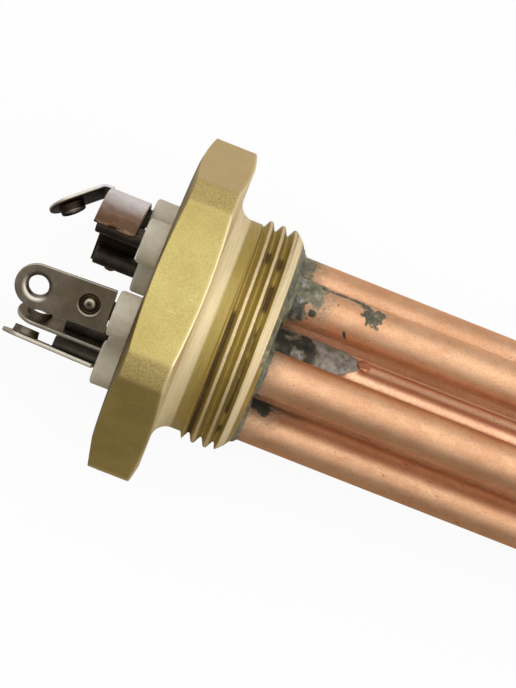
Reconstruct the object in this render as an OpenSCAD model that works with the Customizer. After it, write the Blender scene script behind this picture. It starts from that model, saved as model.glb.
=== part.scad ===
// Screw plug immersion heater: three sheathed hairpins and a thermostat pocket in a brass plug.
// Frame: +X runs from the plug into the vessel, +Z is up, the origin is the centre of the sealing face.
// Sizes are in millimetres, angles in degrees from +Y towards +Z.

/* [Plug] */
// Width of the hexagon across its flats
hex_across_flats = 57; // [54:0.5:60]
// Diameter that the hexagon's corners are turned to
hex_corner_diameter = 63; // [62.5:0.25:65]
// Thickness of the hexagon along the axis
hex_thickness = 9.5; // [7:0.5:12]
// Slope of the chamfer on both sides of the hexagon
hex_chamfer_angle = 13; // [8:1:30]
// Radius of the flat face on the terminal side
terminal_face_radius = 27; // [25:0.25:27]
// Turn of the hexagon against the element pattern
hex_turn = 3; // [0:1:15]
// Outside diameter of the pipe thread
thread_diameter = 41.91; // [41:0.05:44]
// Diameter of the neck under the hexagon
neck_diameter = 39.6; // [38:0.1:40.5]
// Fillet between the sealing face and the neck
neck_fillet = 2.8; // [1:0.1:3]
// Distance from the sealing face to the first thread
thread_start = 4.1; // [4:0.1:5]
// Distance from the sealing face to the end of the shank
shank_length = 13.5; // [12:0.5:20]
// Length of the bevel at the end of the shank
end_bevel_length = 2.1; // [1:0.1:2.5]
// Radius of the flat end of the shank
end_face_radius = 18.3; // [18:0.05:19]

/* [Elements] */
// Outside diameter of the sheath tubes
tube_diameter = 8; // [7:0.1:8.4]
// Wall of the sheath tubes
tube_wall = 0.8; // [0.5:0.05:1]
// Radius of the circle that the six legs stand on
ring_radius = 13.74; // [13.2:0.02:13.9]
// Distance from the sealing face to the tip of the narrow hairpins
immersed_length = 240; // [150:5:400]
// Distance from the sealing face to the inner ends of the pins
cold_length = 42; // [30:1:80]
// Outside diameter of the wound resistance coil
coil_diameter = 4; // [2.8:0.1:4.6]
// Length of the braze fillet along each tube
braze_fillet = 0.9; // [0.4:0.1:1.2]

/* [Thermostat pocket] */
// Distance from the sealing face to the end of the pocket
pocket_length = 120; // [80:5:130]

/* [Terminals] */
// Diameter of the terminal pins
pin_diameter = 3.4; // [2.6:0.1:3.6]
// Distance from the sealing face to the outer ends of the pins
pin_reach = 22; // [21.5:0.1:22.5]
// Depth of a pin's seat under the link
pin_flat = 0.2; // [0.1:0.05:0.4]
// Depth of a pin's welding flat under a lug
lug_flat = 1.05; // [0.2:0.05:1.1]
// Diameter of the ceramic collars
collar_diameter = 8.2; // [7.8:0.1:9]
// Length of the ceramic collars outside the plug
collar_length = 4.2; // [3:0.1:4.5]
// Extra length of the first collar
first_collar_extra = 0.6; // [0:0.1:0.8]
// Length of the ceramic spigots inside the tubes
spigot_length = 6; // [3:0.5:10]
// Rounding of the collars' outer edge
collar_round = 0.6; // [0.3:0.1:1.2]
// Clearance round a spigot and round a pin in the ceramic
ceramic_clearance = 0.08; // [0.02:0.01:0.12]

/* [Lugs] */
// Thickness of the lug and link sheet
sheet = 0.8; // [0.6:0.05:1]
// Width of the lugs
lug_width = 7.8; // [7:0.1:8.4]
// Length of the three separate lugs
lug_length = 17.25; // [15:0.05:19]
// Gap between a lug and the ceramic collar
lug_gap = 0.3; // [0.25:0.05:1]
// Hole for the terminal screw
lug_hole = 3.7; // [3:0.1:4]
// Diameter of the dished entry of the hole
lug_dish = 5.2; // [4.6:0.1:5.6]
// Diameter of the drawn collar behind the hole
lug_collar = 4.6; // [4.5:0.1:5.2]
// Height of the drawn collar
lug_collar_height = 1.3; // [0.6:0.1:1.6]
// Turn of the first lug round its pin
lug_turn_first = -4; // [-12:1:12]
// Turn of the second lug round its pin
lug_turn_second = 11; // [-12:1:12]
// Turn of the third lug round its pin
lug_turn_third = -20; // [-24:1:12]
// Lean of the first lug in its own plane
lug_lean_first = 2; // [0:0.5:2.5]
// Tilt of the second lug towards the axis
lug_tilt_second = 1.6; // [0:0.2:3]

/* [Star link] */
// Width of the link along the axis
link_width = 7.7; // [7:0.1:8.8]
// Distance from the ceramic collars to the link
link_gap = 1.2; // [1:0.1:1.6]
// Half of the angle that the link spans
link_half_angle = 66.5; // [62:0.5:75]
// Flat between the link's edge and the bend of its own lug
stem_flat = 0.7; // [0.2:0.1:1.2]
// Length of the link's own lug beyond its bend
stem_length = 10.1; // [9.5:0.1:13]
// Bend of the link's own lug towards the axis
stem_bend = 42; // [20:1:50]
// Inside radius of that bend
bend_radius = 0.8; // [0.5:0.1:1.5]

/* [Hidden] */
$fn = 64;

tube_radius = tube_diameter / 2;
bore_radius = tube_radius - tube_wall;
thread_radius = thread_diameter / 2;
neck_radius = neck_diameter / 2;
corner_radius = hex_corner_diameter / 2;
flat_radius = hex_across_flats / 2;
chamfer_slope = tan(hex_chamfer_angle);
narrow_half = ring_radius / 2;
narrow_height = ring_radius * sin(60);
wide_half = ring_radius;
narrow_end = immersed_length - narrow_half - tube_radius;
wide_end = narrow_end - PI * (wide_half - narrow_half) / 2;
terminal_face = -hex_thickness;
collar_end = terminal_face - collar_length;
spigot_end = terminal_face + spigot_length;
pin_radius = pin_diameter / 2;
pin_seat = pin_radius - pin_flat;
lug_seat = pin_radius - lug_flat;
link_inner = ring_radius + pin_seat;
link_outer = link_inner + sheet;
link_inner_end = collar_end - link_gap;
link_outer_end = link_inner_end - link_width;
lug_inner_end = collar_end - lug_gap;
lug_outer_end = lug_inner_end - lug_length;
lug_hole_x = lug_outer_end + lug_width / 2 + 0.15;
lug_weld_x = lug_inner_end - 3.9;
cut = 1;

// Points on an arc, for turned profiles
function arc(centre, radius, from, to, steps) =
    [for (i = [0:steps]) centre + radius * [cos(from + (to - from) * i / steps),
                                            sin(from + (to - from) * i / steps)]];

// Turns local Z into the heater's axis
module along_x(x = 0) {
    translate([x, 0, 0]) rotate([0, 90, 0]) children();
}

// Places a child on the leg circle, at an angle, with local Z along the axis
module on_leg(angle, x = 0) {
    translate([0, ring_radius * cos(angle), ring_radius * sin(angle)]) along_x(x) children();
}

// Places a child on a pin, with local Z pointing outwards
module on_pin(angle, turn = 0) {
    translate([0, ring_radius * cos(angle), ring_radius * sin(angle)])
        rotate([angle - 90 + turn, 0, 0]) children();
}

// Places a child on a lug's underside, with its origin at the weld
module on_lug(leg, turn, tilt) {
    on_pin(60 * leg, turn)
        translate([lug_weld_x, 0, lug_seat])
            rotate([0, -tilt, 0]) children();
}

// A hairpin of round bar: two legs and a half ring
module hairpin(half, height, from, to, radius) {
    for (side = [-1, 1])
        translate([0, side * half, height]) along_x(from) cylinder(r = radius, h = to - from);
    translate([to, 0, height])
        rotate([0, 0, -90])
            rotate_extrude(angle = 180) translate([half, 0]) circle(r = radius);
}

// Outline of the hexagon, turned on both sides
module hexagon_turning() {
    rise = (corner_radius - terminal_face_radius) * chamfer_slope;
    seal_radius = flat_radius - 0.1;
    fall = (corner_radius - seal_radius) * chamfer_slope;
    rotate_extrude() polygon([
        [0, terminal_face], [terminal_face_radius, terminal_face],
        [corner_radius, terminal_face + rise], [corner_radius, -fall],
        [seal_radius, 0], [0, 0]
    ]);
}

// Neck with its fillet, thread at its outside diameter and bevelled end
module shank_turning() {
    rotate_extrude() polygon(concat(
        [[0, -cut]],
        [[neck_radius + neck_fillet, -cut]],
        arc([neck_radius + neck_fillet, neck_fillet], neck_fillet, 270, 180, 8),
        [[neck_radius, thread_start - 0.9], [thread_radius, thread_start]],
        [[thread_radius, shank_length - end_bevel_length], [end_face_radius, shank_length],
         [0, shank_length]]
    ));
}

module screw_plug() {
    color([0.79, 0.63, 0.3])
    difference() {
        union() {
            intersection() {
                along_x(terminal_face)
                    rotate([0, 0, 30 + hex_turn])
                        cylinder(r = flat_radius / cos(30), h = hex_thickness, $fn = 6);
                along_x() hexagon_turning();
            }
            along_x() shank_turning();
        }
        for (leg = [0:5])
            on_leg(60 * leg, terminal_face - cut)
                cylinder(r = tube_radius, h = hex_thickness + shank_length + 2 * cut);
        along_x(terminal_face - cut)
            cylinder(r = tube_radius, h = hex_thickness + shank_length + 2 * cut);
    }
}

// Closed tube on the axis, open at the terminal side
module thermostat_pocket() {
    color([0.78, 0.48, 0.32])
    along_x() rotate_extrude() polygon(concat(
        [[bore_radius, terminal_face], [tube_radius, terminal_face]],
        arc([0, pocket_length - tube_radius], tube_radius, 0, 90, 8),
        arc([0, pocket_length - tube_radius], bore_radius, 90, 0, 8)
    ));
}

// Fillets of braze where the tubes leave the plug
module braze_ring() {
    rotate_extrude() polygon([
        [tube_radius, 0], [tube_radius + braze_fillet, 0], [tube_radius, braze_fillet]
    ]);
}

module braze_rings() {
    color([0.6, 0.58, 0.52]) {
        intersection() {
            for (leg = [0:5]) on_leg(60 * leg, shank_length) braze_ring();
            along_x(shank_length) cylinder(r = end_face_radius, h = braze_fillet);
        }
        along_x(shank_length) braze_ring();
    }
}

// Sheath of one hairpin, from the terminal face to its bend
module sheath(half, height, to) {
    color([0.78, 0.48, 0.32])
    difference() {
        hairpin(half, height, terminal_face, to, tube_radius);
        hairpin(half, height, terminal_face - cut, to, bore_radius);
    }
}

// Pressed filling of one hairpin, round its pins and coil
module magnesia(half, height, to) {
    color([0.9, 0.88, 0.84])
    difference() {
        hairpin(half, height, spigot_end, to, bore_radius);
        hairpin(half, height, cold_length, to, coil_diameter / 2);
        for (side = [-1, 1])
            translate([0, side * half, height])
                along_x(spigot_end - cut)
                    cylinder(r = pin_radius, h = cold_length - spigot_end + cut);
    }
}

// Outside shape of the wound coil of one hairpin
module coil(half, height, to) {
    color([0.55, 0.54, 0.53])
        hairpin(half, height, cold_length, to, coil_diameter / 2);
}

module sheath_upper() { sheath(narrow_half, narrow_height, narrow_end); }
module sheath_middle() { sheath(wide_half, 0, wide_end); }
module sheath_lower() { sheath(narrow_half, -narrow_height, narrow_end); }
module magnesia_upper() { magnesia(narrow_half, narrow_height, narrow_end); }
module magnesia_middle() { magnesia(wide_half, 0, wide_end); }
module magnesia_lower() { magnesia(narrow_half, -narrow_height, narrow_end); }
module coil_upper() { coil(narrow_half, narrow_height, narrow_end); }
module coil_middle() { coil(wide_half, 0, wide_end); }
module coil_lower() { coil(narrow_half, -narrow_height, narrow_end); }

// Ceramic bead: rounded collar outside, spigot inside the tube, hole for the pin
module insulator(leg, extra = 0) {
    outer_end = collar_end - extra;
    collar_radius = collar_diameter / 2;
    hole_radius = pin_radius + ceramic_clearance;
    spigot_radius = bore_radius - ceramic_clearance;
    color([0.75, 0.73, 0.66])
    on_leg(60 * leg) rotate_extrude() polygon(concat(
        [[hole_radius, spigot_end], [spigot_radius, spigot_end], [spigot_radius, terminal_face]],
        [[collar_radius, terminal_face]],
        arc([collar_radius - collar_round, outer_end + collar_round], collar_round, 0, -90, 6),
        [[hole_radius, outer_end]]
    ));
}

module insulator_1() { insulator(0, first_collar_extra); }
module insulator_2() { insulator(1); }
module insulator_3() { insulator(2); }
module insulator_4() { insulator(3); }
module insulator_5() { insulator(4); }
module insulator_6() { insulator(5); }

// Round pin from the coil to the terminals
module pin_bar(leg) {
    on_leg(60 * leg, -pin_reach) cylinder(r = pin_radius, h = pin_reach + cold_length);
}

// Pin with a seat turned to the star link
module linked_pin(leg) {
    color([0.62, 0.6, 0.57])
    difference() {
        pin_bar(leg);
        along_x(-pin_reach - cut)
            difference() {
                cylinder(r = link_inner + cut, h = pin_reach + cut + link_inner_end);
                translate([0, 0, -cut]) cylinder(r = link_inner, h = pin_reach + 3 * cut + link_inner_end);
            }
    }
}

// Pin with a welding flat under its lug
module lug_pin(leg, turn, tilt = 0) {
    color([0.62, 0.6, 0.57])
    difference() {
        pin_bar(leg);
        on_lug(leg, turn, tilt)
            translate([-pin_reach - cut - lug_weld_x, -pin_diameter, 0])
                cube([pin_reach + cut + lug_inner_end + lug_gap / 2, 2 * pin_diameter, pin_diameter]);
    }
}

module pin_1() { linked_pin(0); }
module pin_2() { linked_pin(1); }
module pin_3() { lug_pin(2, lug_turn_first); }
module pin_4() { lug_pin(3, lug_turn_second, lug_tilt_second); }
module pin_5() { lug_pin(4, lug_turn_third); }
module pin_6() { linked_pin(5); }

// Sheet with a round end, from x = 0 at the round end's tip, underside at z = 0
module lug_sheet(length) {
    translate([lug_width / 2, 0, 0]) cylinder(d = lug_width, h = sheet);
    translate([lug_width / 2, -lug_width / 2, 0]) cube([length - lug_width / 2, lug_width, sheet]);
}

// Hole with a dished entry on top
module lug_drilling() {
    translate([0, 0, -lug_collar_height - cut])
        cylinder(d = lug_hole, h = lug_collar_height + sheet + 2 * cut);
    rotate_extrude() polygon(concat(
        [[0, sheet + cut], [0, sheet - 0.55], [lug_hole / 2 - 0.05, sheet - 0.55]],
        arc([lug_dish / 2, sheet - 0.6], 0.6, 150, 90, 4),
        [[lug_dish / 2, sheet + cut]]
    ));
}

// Sheet lug with a drawn hole at a distance from its tip
module drawn_lug(length, hole_at) {
    difference() {
        union() {
            lug_sheet(length);
            translate([hole_at, 0, -lug_collar_height])
                cylinder(d = lug_collar, h = lug_collar_height + sheet / 2);
        }
        translate([hole_at, 0, 0]) lug_drilling();
    }
}

module phase_lug(leg, turn, lean, tilt = 0) {
    color([0.42, 0.39, 0.35])
    on_lug(leg, turn, tilt)
        rotate([0, 0, lean])
            translate([lug_outer_end - lug_weld_x, 0, 0])
                drawn_lug(lug_length, lug_hole_x - lug_outer_end);
}

module phase_lug_1() { phase_lug(2, lug_turn_first, lug_lean_first); }
module phase_lug_2() { phase_lug(3, lug_turn_second, 0, lug_tilt_second); }
module phase_lug_3() { phase_lug(4, lug_turn_third, 0); }

// Root of the link's own lug: a short flat, the bend and the start of the lug
module stem_root(root, overlap) {
    centre = [0, -bend_radius];
    reach = overlap * [-cos(stem_bend), -sin(stem_bend)];
    outer = arc(centre, bend_radius + sheet, 90, 90 + stem_bend, 6);
    inner = arc(centre, bend_radius, 90 + stem_bend, 90, 6);
    translate([0, 0, -lug_width / 2])
        linear_extrude(height = lug_width)
            polygon(concat([[root, sheet]], outer, [outer[6] + reach, inner[0] + reach], inner, [[root, 0]]));
}

// Curved strip over three pins, with a lug bent towards the axis
module star_link() {
    color([0.6, 0.57, 0.55]) {
        along_x(link_outer_end)
            rotate([0, 0, 90 - link_half_angle])
                rotate_extrude(angle = 2 * link_half_angle)
                    translate([link_inner, 0]) square([sheet, link_width]);
        translate([link_outer_end - stem_flat, link_inner - 0.1, 0]) {
            stem_root(stem_flat + 0.4, 1.5);
            translate([0, -bend_radius, 0])
                rotate([0, 0, stem_bend])
                    translate([-stem_length, bend_radius, 0])
                        rotate([-90, 0, 0]) drawn_lug(stem_length, lug_width / 2 + 0.15);
        }
    }
}

screw_plug();
thermostat_pocket();
braze_rings();
sheath_upper();
sheath_middle();
sheath_lower();
magnesia_upper();
magnesia_middle();
magnesia_lower();
coil_upper();
coil_middle();
coil_lower();
insulator_1();
insulator_2();
insulator_3();
insulator_4();
insulator_5();
insulator_6();
pin_1();
pin_2();
pin_3();
pin_4();
pin_5();
pin_6();
phase_lug_1();
phase_lug_2();
phase_lug_3();
star_link();
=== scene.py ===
"""Looks of the screw plug immersion heater.

Sizes are millimetres in the part's frame: +X runs from the plug into the vessel, and the origin is the centre
of the sealing face. Angles are degrees round the X axis, from +Y towards +Z.
"""
import math
from functools import partial, partialmethod

import bpy
import numpy as np
from mathutils import Matrix, Vector
from mathutils.geometry import delaunay_2d_cdt


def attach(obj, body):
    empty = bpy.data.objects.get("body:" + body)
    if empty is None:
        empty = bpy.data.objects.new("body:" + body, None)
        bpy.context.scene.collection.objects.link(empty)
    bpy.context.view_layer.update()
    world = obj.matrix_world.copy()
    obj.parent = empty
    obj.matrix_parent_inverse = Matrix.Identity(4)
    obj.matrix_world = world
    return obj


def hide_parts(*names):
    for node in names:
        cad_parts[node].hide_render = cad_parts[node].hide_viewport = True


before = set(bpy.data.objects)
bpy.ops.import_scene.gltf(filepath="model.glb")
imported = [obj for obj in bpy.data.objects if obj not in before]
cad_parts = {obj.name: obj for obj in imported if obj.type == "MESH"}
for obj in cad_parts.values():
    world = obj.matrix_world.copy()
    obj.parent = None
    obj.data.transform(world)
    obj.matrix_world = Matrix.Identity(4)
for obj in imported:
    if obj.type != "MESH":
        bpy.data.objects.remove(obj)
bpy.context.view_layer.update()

MM = 0.001

# Plug and tubes
RING = 13.74
LEGS = "ABEFGH"
LEG_TURN = 60
TUBE = 4.0
BORE = 3.2
TERMINAL_FACE = -9.5
SHANK_END = 13.5
HEATER_END = 240.0
POCKET_BEND = 116.0

# The three hairpins are equally long, so the legs of the wide one stop short of the others
NARROW = RING / 2
NARROW_END = HEATER_END - NARROW - TUBE
WIDE_END = NARROW_END - math.pi * (RING - NARROW) / 2

# Terminals
SHEET = 0.8
WELD_X = -17.9
LUG_SEAT = 0.65
LUG_FLAT_END = -13.85
LINK_SEAT = 1.5
LINK_INNER = RING + LINK_SEAT
LINK_X = (-22.6, -14.9)


# Noise and the shapes of curves

HASH = (374761393, 668265263, 1440662683, 1274126177)
WORD = 0xFFFFFFFF
SEED_STEP = 17


def hashed(ix, iy, iz, seed):
    """A fixed share from 0 to 1 for each cell of a grid."""
    a, b, c, d = HASH
    h = (ix * a + iy * b + iz * c + seed * d) & WORD
    h = ((h ^ (h >> 13)) * d) & WORD
    return ((h ^ (h >> 16)) & 0xFFFF) / 0xFFFF


def grain(p, size, seed):
    """Smooth noise from 0 to 1 at points p, with lumps of about that size."""
    q = np.asarray(p, dtype=float) / size
    cell = np.floor(q).astype(np.int64)
    f = q - cell
    f = f * f * (3 - 2 * f)
    total = 0.0
    for corner in np.ndindex(2, 2, 2):
        fx, fy, fz = (f[..., k] if corner[k] else 1 - f[..., k] for k in range(3))
        ix, iy, iz = (cell[..., k] + corner[k] for k in range(3))
        total = total + fx * fy * fz * hashed(ix, iy, iz, seed)
    return total


def layered(p, size, seed, octaves=3):
    """Noise with finer layers added, each half as strong as the one before."""
    total, weight = 0.0, 0.0
    for k in range(octaves):
        total = total + 0.5 ** k * grain(p, size / 2 ** k, seed + SEED_STEP * k)
        weight += 0.5 ** k
    return total / weight


def lumps(p, size, seed, octaves=3):
    """Layered noise about 0."""
    return layered(p, size, seed, octaves) - 0.5


def step(a, b, v):
    """Smooth change from 0 at a to 1 at b."""
    t = np.clip((np.asarray(v, dtype=float) - a) / (b - a), 0, 1)
    return t * t * (3 - 2 * t)


def band(a, b, v, soft):
    """1 between a and b, falling to 0 on both sides."""
    return step(a - soft, a + soft, v) * step(b + soft, b - soft, v)


def bell(v, centre, width):
    """1 at the centre, falling to 0 on both sides."""
    return np.exp(-((v - centre) / width) ** 2)


def bowl(t):
    """Quarter of a circle, from 0 at t = 0 to 1 at t = 1."""
    return 1 - np.sqrt(np.maximum(1 - np.clip(t, 0, 1) ** 2, 0))


def rounded(depth, radius):
    """How far a rounded edge lies under a sharp one, at a depth in from the side."""
    return radius * bowl(1 - depth / radius)


def curve(t, a, b, c):
    """Place at t, from 0 to 1, on a curve from a to c that bends towards b."""
    return (1 - t) ** 2 * a + 2 * t * (1 - t) * b + t * t * c


def join(*arrays):
    return np.concatenate(arrays)


def most(*amounts):
    """The largest of several amounts at each point."""
    return np.maximum.reduce(amounts)


def turn_gap(a, b):
    """Smallest difference between two angles, with its sign."""
    return (np.asarray(a, dtype=float) - b + 180) % 360 - 180


def polar(radius, angle):
    """The two coordinates of a place at an angle round a centre."""
    a = math.radians(angle)
    return radius * math.cos(a), radius * math.sin(a)


def leg_centre(leg):
    return polar(RING, LEG_TURN * leg)


def arc(cx, cy, radius, first, last, steps):
    """Points of an arc about (cx, cy) between two angles."""
    angles = [math.radians(first + (last - first) * k / steps) for k in range(steps + 1)]
    return [(cx + radius * math.cos(a), cy + radius * math.sin(a)) for a in angles]


def turns(count):
    """Equal steps round a circle, in radians."""
    return np.arange(count) * 2 * np.pi / count


def hoop(x, radius, psi):
    """Points at x round the X axis."""
    return np.stack([np.broadcast_to(x, psi.shape), radius * np.cos(psi), radius * np.sin(psi)], axis=1)


# Meshes

def numbers(first, count):
    return list(range(first, first + count))


def bridge(a, b):
    """Four-sided faces between two closed loops of point numbers."""
    return list(zip(a, a[1:] + a[:1], b[1:] + b[:1], b))


def grid_faces(rows, cols, closed=True, base=0, flip=False):
    """Four-sided faces over rows of points; closed joins the last column to the first."""
    faces = []
    for j in range(rows - 1):
        for i in range(cols if closed else cols - 1):
            a = base + j * cols + i
            b = base + j * cols + (i + 1) % cols
            faces.append((a, a + cols, b + cols, b) if flip else (a, b, b + cols, a + cols))
    return faces


def capped_faces(rows, cols, flip=False):
    """Faces over a row of rings, with both ends closed."""
    turn = 1 if flip else -1
    first = numbers(0, cols)[::turn]
    last = numbers((rows - 1) * cols, cols)[::-turn]
    return grid_faces(rows, cols, flip=flip) + [tuple(first), tuple(last)]


def filled(points, loops, in_hole, tolerance):
    """Triangles over flat points, inside the first loop of point numbers and outside the holes."""
    edges = [pair for loop in loops for pair in zip(loop, loop[1:] + loop[:1])]
    found = delaunay_2d_cdt([Vector(p) for p in points], edges, [], 0, tolerance)
    origin = [o[0] if o else None for o in found[3]]
    triangles = []
    for triangle in found[2]:
        centre = sum((found[0][k] for k in triangle), Vector((0, 0))) / len(triangle)
        corners = [origin[k] for k in triangle]
        if None in corners or len(set(corners)) < 3 or in_hole(centre.x, centre.y):
            continue
        triangles.append(corners)
    return triangles


def lathe(profile, count):
    """Points and faces of a closed profile of (x, radius) turned about the X axis."""
    psi = turns(count)
    verts = join(*(hoop(x, r, psi) for x, r in profile))
    faces = grid_faces(len(profile), count, flip=True)
    faces += bridge(numbers(0, count), numbers((len(profile) - 1) * count, count))
    return verts, faces


def pushed(verts, out):
    """Points moved away from the X axis by the amounts in out."""
    moved = verts.copy()
    radius = np.hypot(verts[:, 1], verts[:, 2])
    for k in (1, 2):
        moved[:, k] += out * verts[:, k] / radius
    return moved


def piece(name, verts, faces, replaces=(), sharp=None, values=None):
    """A mesh of the scene, with its named amounts from 0 to 1 at each point."""
    mesh = bpy.data.meshes.new(name)
    places = (np.asarray(verts, dtype=float) * MM).tolist()
    mesh.from_pydata(places, [], [tuple(int(i) for i in f) for f in faces])
    mesh.update()
    mesh.shade_smooth()
    if sharp:
        mesh.set_sharp_from_angle(angle=math.radians(sharp))
    for key, data in (values or {}).items():
        layer = mesh.attributes.new(key, "FLOAT", "POINT")
        layer.data.foreach_set("value", np.asarray(data, dtype=np.float32))
    obj = bpy.data.objects.new(name, mesh)
    bpy.context.scene.collection.objects.link(obj)
    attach(obj, "root")
    if replaces:
        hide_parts(*replaces)
    return obj


# Brass plug

PLUG_STEPS = 480
BORE_STEPS = 48
FLAT, CORNER = 28.5, 31.5
HEX_TURN = 3.0
CHAMFER = math.radians(13)
SLOPE = math.tan(CHAMFER)
FACE_RIM = 27.0
SEAL_RIM = FLAT - 0.1
FACE_ROUND, SEAL_ROUND = 0.16, 0.35
EDGE_STEPS = (0.0, 0.25, 0.5, 0.75, 1.0)
SIDE_STEPS = (0.03, 0.12, 0.25, 0.4, 0.55, 0.7, 0.85, 0.95)
# the turned corners show this far from the middle of a flat, in degrees
LAND = (23.8, 26.8)
NECK = 19.8
NECK_FILLET = 2.8
PITCH = 2.309
MINOR, MAJOR = 19.476, 20.955
FIRST_GROOVE = 4.85
ROOT_SHARE, FLANK_SHARE, ROUND_SHARE = 0.08, 0.72, 0.35
THREAD_ROW = 0.09
# bevel at the end of the shank, with a fine turned line in it
BEVEL_X = (11.0, 12.5, 13.2, SHANK_END)
BEVEL_R = (MAJOR, 19.62, 18.5, 18.25)
LINE_X, LINE_WIDTH, LINE_DEPTH = 12.35, 0.12, 0.12
# where parts of the thread begin and end, as soft steps along X
THREAD_IN = (4.5, 5.2)
WEAR_X = ((4.6, 5.2), (11.6, 11.2))
GROOVE_X = ((4.8, 5.3), (11.4, 11.0))
CREST_X = ((4.7, 5.1), (11.5, 11.2))
GROOVE_CLOUD = np.array([2.0, 0.3, 0.3])


def along(x, zone):
    """1 inside a zone of X with its own soft step at each end."""
    return step(*zone[0], x) * step(*zone[1], x)


def thread_wave(x, psi):
    """Height of the thread from 0 at the root to 1 on the crest, and the number of the nearest groove."""
    count = (x - FIRST_GROOVE) / PITCH - psi / (2 * np.pi)
    wave = 1 - np.abs(2 * (count % 1.0) - 1)
    h = np.clip((wave - ROOT_SHARE) / FLANK_SHARE, 0, 1)
    return ROUND_SHARE * step(0, 1, h) + (1 - ROUND_SHARE) * h, np.round(count)


def thread_radius(x, psi):
    height, _ = thread_wave(x, psi)
    r = NECK + (MINOR + (MAJOR - MINOR) * height - NECK) * step(*THREAD_IN, x)
    bevel = np.interp(x, BEVEL_X, BEVEL_R) - LINE_DEPTH * bell(x, LINE_X, LINE_WIDTH)
    closed = step(BEVEL_X[0], BEVEL_X[0] + 0.4, x)
    return (1 - closed) * np.minimum(r, bevel) + closed * bevel


def plug_rows(psi, hexagon, land):
    """Rings of the plug from the terminal face to the shank's end.

    Each holds x, the radius, and how much of a worn corner, brown rim, worn edge with a painted highlight and
    pale face it is; the pale face is partly painted reflection.
    """
    rows = []

    def row(x, r, worn=0.0, rim=0.0, worn_edge_highlight=0.0, face=0.0):
        values = (x, r, worn, rim, worn_edge_highlight, face)
        rows.append([np.broadcast_to(np.asarray(v, dtype=float), psi.shape).copy() for v in values])

    sine, cosine = math.sin(CHAMFER), math.cos(CHAMFER)
    # terminal side: edge of the face, chamfer, rounded edge
    row(TERMINAL_FACE, FACE_RIM - 0.3, rim=0.3)
    row(TERMINAL_FACE + 0.02, FACE_RIM - 0.05, rim=1)
    row(TERMINAL_FACE + 0.08, FACE_RIM + 0.25, rim=1)
    edge = TERMINAL_FACE + (hexagon - FACE_RIM) * SLOPE
    for t in EDGE_STEPS:
        x = curve(t, edge - FACE_ROUND * sine, edge, edge + FACE_ROUND)
        r = curve(t, hexagon - FACE_ROUND * cosine, hexagon, hexagon)
        row(x, r, land * (0.5 + 0.5 * t), rim=0.4 * (1 - t) ** 2)
    # flats and corners
    over = np.maximum(hexagon - SEAL_RIM, 0.02)
    fall = over * SLOPE
    start, end = edge + FACE_ROUND, -fall - SEAL_ROUND
    for t in SIDE_STEPS:
        row(start + (end - start) * t, hexagon, land)
    # sealing side: rounded edge, chamfer, face
    inner = np.minimum(SEAL_ROUND, 0.9 * over / cosine)
    for t in EDGE_STEPS:
        x = curve(t, end, -fall, inner * sine - fall)
        r = curve(t, hexagon, hexagon, hexagon - inner * cosine)
        # painted highlight: the rounded sealing edge is painted bright as a lit line, on top of its wear
        row(x, r, land * (1 - 0.5 * t), worn_edge_highlight=0.25 + 0.75 * math.sin(math.pi * t), face=0.6 * t * t)
    row(-0.01, SEAL_RIM - 0.05, face=0.6)
    row(0.0, SEAL_RIM - 0.3, face=0.6)
    row(0.0, 25.5)
    row(0.0, 23.0)
    # fillet, neck, thread and bevel
    for x, r in arc(NECK_FILLET, NECK + NECK_FILLET, NECK_FILLET, 180, 270, 10):
        row(x, r)
    for x in np.arange(NECK_FILLET + 0.1, SHANK_END - 0.001, THREAD_ROW):
        row(x, thread_radius(np.full(PLUG_STEPS, x), psi))
    row(SHANK_END - 0.03, BEVEL_R[-1])
    row(SHANK_END, BEVEL_R[-1] - 0.15)
    return rows


def plug_wear(verts, land):
    """Depth of the nicks, most on the worn corners and on the thread."""
    thread = along(verts[:, 0], WEAR_X)
    depth = (0.02 + 0.10 * land) * lumps(verts, 0.9, 5) + 0.02 * lumps(verts, 3.0, 9, 2)
    depth = depth + 0.05 * thread * lumps(verts, 0.8, 21, 2)
    side = step(28.0, 28.3, np.hypot(verts[:, 1], verts[:, 2]))
    return depth * np.clip(side + thread, 0, 1)


def plug_ends(verts, faces, rings):
    """Adds the two flat ends and the seven bores to the plug's faces, and returns all its points."""
    centres = [(0.0, 0.0)] + [leg_centre(leg) for leg in range(len(LEGS))]
    wall = TUBE * math.cos(math.pi / BORE_STEPS) - 1e-4

    def in_bore(y, z):
        return any(math.hypot(y - cy, z - cz) < wall for cy, cz in centres)

    loops = []
    for x in (TERMINAL_FACE, SHANK_END):
        for cy, cz in centres:
            loops.append(numbers(len(verts), BORE_STEPS))
            verts = join(verts, hoop(x, TUBE, turns(BORE_STEPS)) + (0, cy, cz))
    near, far = loops[:len(centres)], loops[len(centres):]
    flat_loops = [numbers(0, PLUG_STEPS)]
    flat_loops += [numbers(PLUG_STEPS + k * BORE_STEPS, BORE_STEPS) for k in range(len(centres))]
    for first, bores, turn in ((0, near, -1), ((rings - 1) * PLUG_STEPS, far, 1)):
        used = sum(bores, numbers(first, PLUG_STEPS))
        for triangle in filled(verts[used, 1:], flat_loops, in_bore, 1e-6):
            faces.append(tuple(used[k] for k in triangle[::turn]))
    for a, b in zip(near, far):
        faces += bridge(b, a)
    return verts


def groove_dirt(deg, groove, p):
    """Brown deposit left in the grooves, thickest on the lower front."""
    cloud = layered(p * GROOVE_CLOUD, 1.0, 141)
    first = band(91, 205, deg, 4) * (0.55 + 0.6 * cloud)
    second = band(52, 61, deg, 4) + 0.8 * band(100, 175, deg, 8) * step(0.4, 0.68, cloud)
    third = band(53, 63, deg, 4) + band(72, 87, deg, 4)
    third = third + 0.8 * band(88, 165, deg, 6) * step(0.25, 0.6, cloud)
    rear = 0.8 * step(0.48, 0.66, cloud) * band(205, 380, deg, 6)
    total = np.where(groove == 0, first, np.where(groove == 1, second, third)) + rear
    return np.clip(total, 0, 1)


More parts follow.
